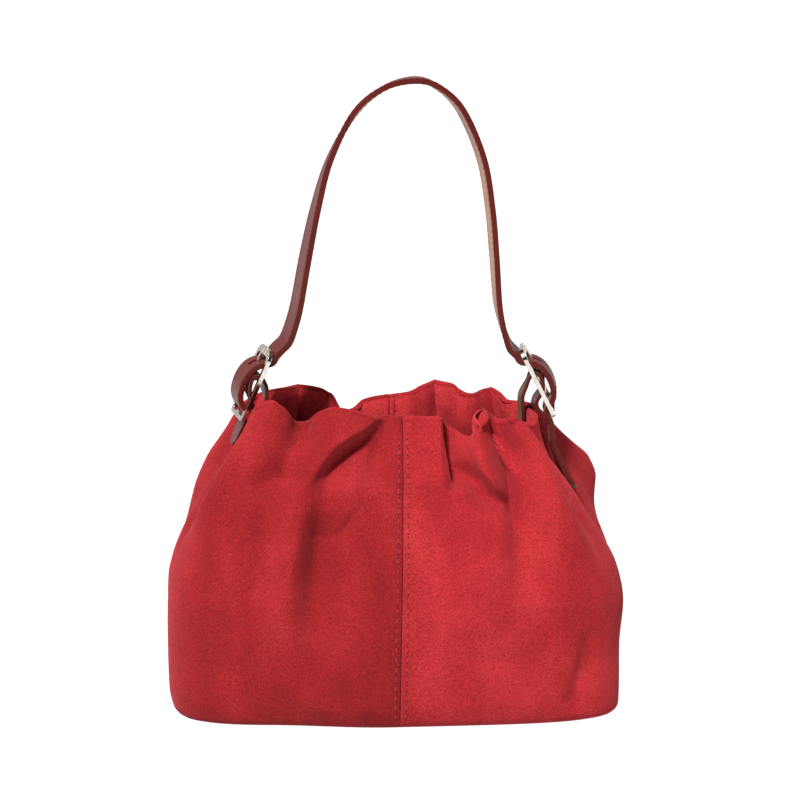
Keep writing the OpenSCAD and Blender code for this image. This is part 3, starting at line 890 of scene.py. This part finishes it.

# The left panel takes a darker copy of the suede: painted shade, for the left of the bag lying
# darker in the light
suede = suede_material("suede", srgb(142, 25, 30), srgb(158, 35, 39), srgb(124, 18, 24))
suede_painted_shade = suede_material("suede_painted_shade", srgb(126, 19, 23), srgb(142, 28, 32), srgb(108, 13, 18))
# A lighter copy of the suede for the facing inside the mouth: painted light, so the inside reads as
# lit
suede_painted_light = suede_material("suede_painted_light", srgb(170, 38, 43), srgb(182, 48, 52),
                              srgb(156, 30, 36))
lining_cloth = cloth_material("lining_cloth", srgb(120, 20, 30), 900)
elastic_cloth = cloth_material("elastic_cloth", srgb(200, 190, 180), 700)
burgundy = leather_material("burgundy_leather", srgb(72, 16, 13), srgb(84, 23, 18), 0.42, 8.6)
edge_paint = leather_material("edge_paint", srgb(62, 10, 9), srgb(74, 15, 13), 0.34)
tan_side = leather_material("strap_backing", srgb(150, 104, 80), srgb(166, 122, 98), 0.5, 8.6)
flesh_side = leather_material("flesh_side", srgb(78, 64, 52), srgb(98, 82, 68), 0.75)
nickel = metal_material("satin_nickel", srgb(228, 221, 208), 0.1)
snap_metal = metal_material("snap_metal", srgb(214, 206, 190), 0.25)
board = leather_material("board", srgb(86, 72, 60), srgb(102, 86, 72), 0.8)
red_thread = thread_material("red_thread", srgb(150, 34, 38))
strap_thread = thread_material("strap_thread", srgb(92, 32, 26))
# Near-black red for the beads at the needle holes: painted shade inside the holes
needle_hole_painted_shade = plain_material("needle_hole", srgb(58, 8, 12), roughness=1.0)

BODY_Z = RIM * (1 - (1 - np.linspace(0, 1, ROWS)) ** 1.25)
SIDES = ((-1, "left"), (1, "right"))

halves, inner_halves = {}, {}
for side, name in SIDES:
    # the left half wears the darker copy of the suede: painted shade
    halves[side], inner_halves[side] = body_panel(side, name, suede if side > 0 else suede_painted_shade)

for side, name in SIDES:
    half = inner_halves[side]

    def snap_pad(p):
        """The facing is held in at the snap."""
        near = ((p[..., 0] / 9) ** 2 + ((p[..., 2] - 154) / 9) ** 2)
        return 0.4 * np.exp(-near ** 2) + 0 * p[..., 1]

    # The facing wears the lighter copy of the suede: painted light
    facing = inner_layer(name + "_facing", half, side, 126, RIM, 2 * ROLL_RADIUS - 1.0, 1.0,
                         suede_painted_light, extra=snap_pad)
    place_piece(facing, "bag", "suede_facing", name + "_hem_facing")

    def slack(p):
        """Loose folds of the lining, smaller near its edges."""
        free = smoothstep((p[..., 2] - 6) / 25) * smoothstep((130 - p[..., 2]) / 20)
        return free * (1.5 + ripple(p, 4, 6, 60, 1.2) + ripple(p, 5, 6, 24, 0.4))

    lining = inner_layer(name + "_lining", half, side, 4.4, 131, 1.4, 0.4, lining_cloth,
                         extra=slack)
    place_piece(lining, "bag", "lining", "lining_wall")
    band = inner_layer(name + "_elastic", half, side, 163, 169.5, 1.3, 0.5, elastic_cloth)
    place_piece(band, "bag", "elastic", "mouth_elastic")

base = filled_outline("base_suede", 0.3, 0.995, lambda p: 0.4 + 0 * p[..., 2], suede, 0.8)
place_piece(base, "bag", "suede", "base_panel")
lining_floor = filled_outline("lining_floor", 4.4, 0.982,
                              lambda p: 0.5 + ripple(p, 8, 6, 50, 0.25), lining_cloth, 0.4)
place_piece(lining_floor, "bag", "lining", "lining_base")

# Double stitching beside the seam, outside and on the front and back
seam_stitches, seam_holes = [], []
for side, name in SIDES:
    p, n = halves[side]
    for seam, columns in ((0, 3), (-1, -4)):
        line, normals = p[4:-3, columns], n[4:-3, columns]
        line = line.copy()
        line[:, 0] += seam_drift(line[:, 0], line[:, 1], line[:, 2])
        found = along_line(line - 0.05 * normals, normals, 5.6, 3.2)
        inside = BODY_Z[4:-3] > 130
        inner = (line - (2 * ROLL_RADIUS - 0.05) * normals)[inside]
        found += along_line(inner, -normals[inside], 5.6, 3.2)
        seam_stitches += found
        seam_holes += needle_holes(found, 3.6, 0.5)
obj = scatter("seam_stitches", rounded_bar(3.0, 0.22), seam_stitches, red_thread)
place_piece(obj, "bag", "suede")
# Dark beads at the needle holes: painted shade of the holes
obj = scatter("seam_needle_hole_shade", bead(0.6, 0.3), seam_holes, needle_hole_painted_shade)
place_piece(obj, "bag", "suede")


def prong_hole(place):
    def inside(x, z):
        a, k = math.radians(place[2]), side_of(place)
        dx, dz = k * (x - place[0]), z - place[1]
        s, n = -dx * math.sin(a) + dz * math.cos(a), dx * math.cos(a) + dz * math.sin(a)
        return 4.5 < s < 13 and -4.2 < n < 6
    return inside


left_hole, right_hole = prong_hole(LEFT), prong_hole(RIGHT)
strap_points = (at_buckle(LEFT, LEFT_TAIL + THREAD) + ARCH
                + at_buckle(RIGHT, (RIGHT_STUB + THREAD)[::-1]))
strap_route = smooth_route(strap_points, 1.4)
strap = leather_strip("strap", strap_route, STRAP_HALF, -LAYER_T, LAYER_T,
                      (burgundy, tan_side, edge_paint),
                      hole=lambda x, z: left_hole(x, z) or right_hole(x, z), ends=(9, 0))
place_piece(strap, "handle", "strap_leather", "strap_outer", "strap_backing")

tail_route = smooth_route(at_buckle(RIGHT, RIGHT_STUB) + TAIL, 1.4)
tail = leather_strip("strap_end", tail_route, STRAP_HALF, -LAYER_T, LAYER_T,
                     (burgundy, tan_side, edge_paint), ends=(0, 9))
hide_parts("tail_outer", "tail_backing")
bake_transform(tail)

for place, name in ((LEFT, "left"), (RIGHT, "right")):
    def bar_slot(x, z, place=place):
        return abs(x - place[0]) < 5.2 and abs(z - place[1]) < 4.2

    tab = leather_strip(name + "_tab_leather", smooth_route(tab_route(place), 0.8), TAB_HALF,
                        -TAB_T / 2, TAB_T / 2,
                        (burgundy, flesh_side, edge_paint),
                        hole=bar_slot, foot=RIVET_Z, edge=0.5)
    place_piece(tab, "handle", "tab_leather", name + "_tab")

# Stitching along both edges of the strap, on its outer and inner face
for piece, route, skip in (("strap", strap_route, (12, 0)), ("strap_end", tail_route, (0, 10))):
    middle, out, across, length = strip_frames(route)
    keep = (length > skip[0]) & (length < length[-1] - skip[1])
    found = []
    for edge in (-1, 1):
        for face in (-1, 1):
            line = (middle + edge * (STRAP_HALF - 2.1) * across
                    + face * (LAYER_T - 0.08) * out)[keep]
            found += along_line(line, (face * out)[keep], 3.6, 2.6)
    obj = scatter(piece + "_stitches", rounded_bar(2.7, 0.26, 5), found, strap_thread)
    if piece == "strap":
        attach(obj, "handle")
    else:
        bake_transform(obj)

# CAD parts that stay: smooth shading between their sharp edges, and their own finish
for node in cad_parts:
    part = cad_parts[node]
    if part.hide_render:
        continue
    if node == "base_board":
        paint(part, board)
        continue
    paint(part, snap_metal if node.startswith("snap") else nickel)
    part.data.polygons.foreach_set("use_smooth", [True] * len(part.data.polygons))
    part.data.set_sharp_from_angle(angle=math.radians(35))
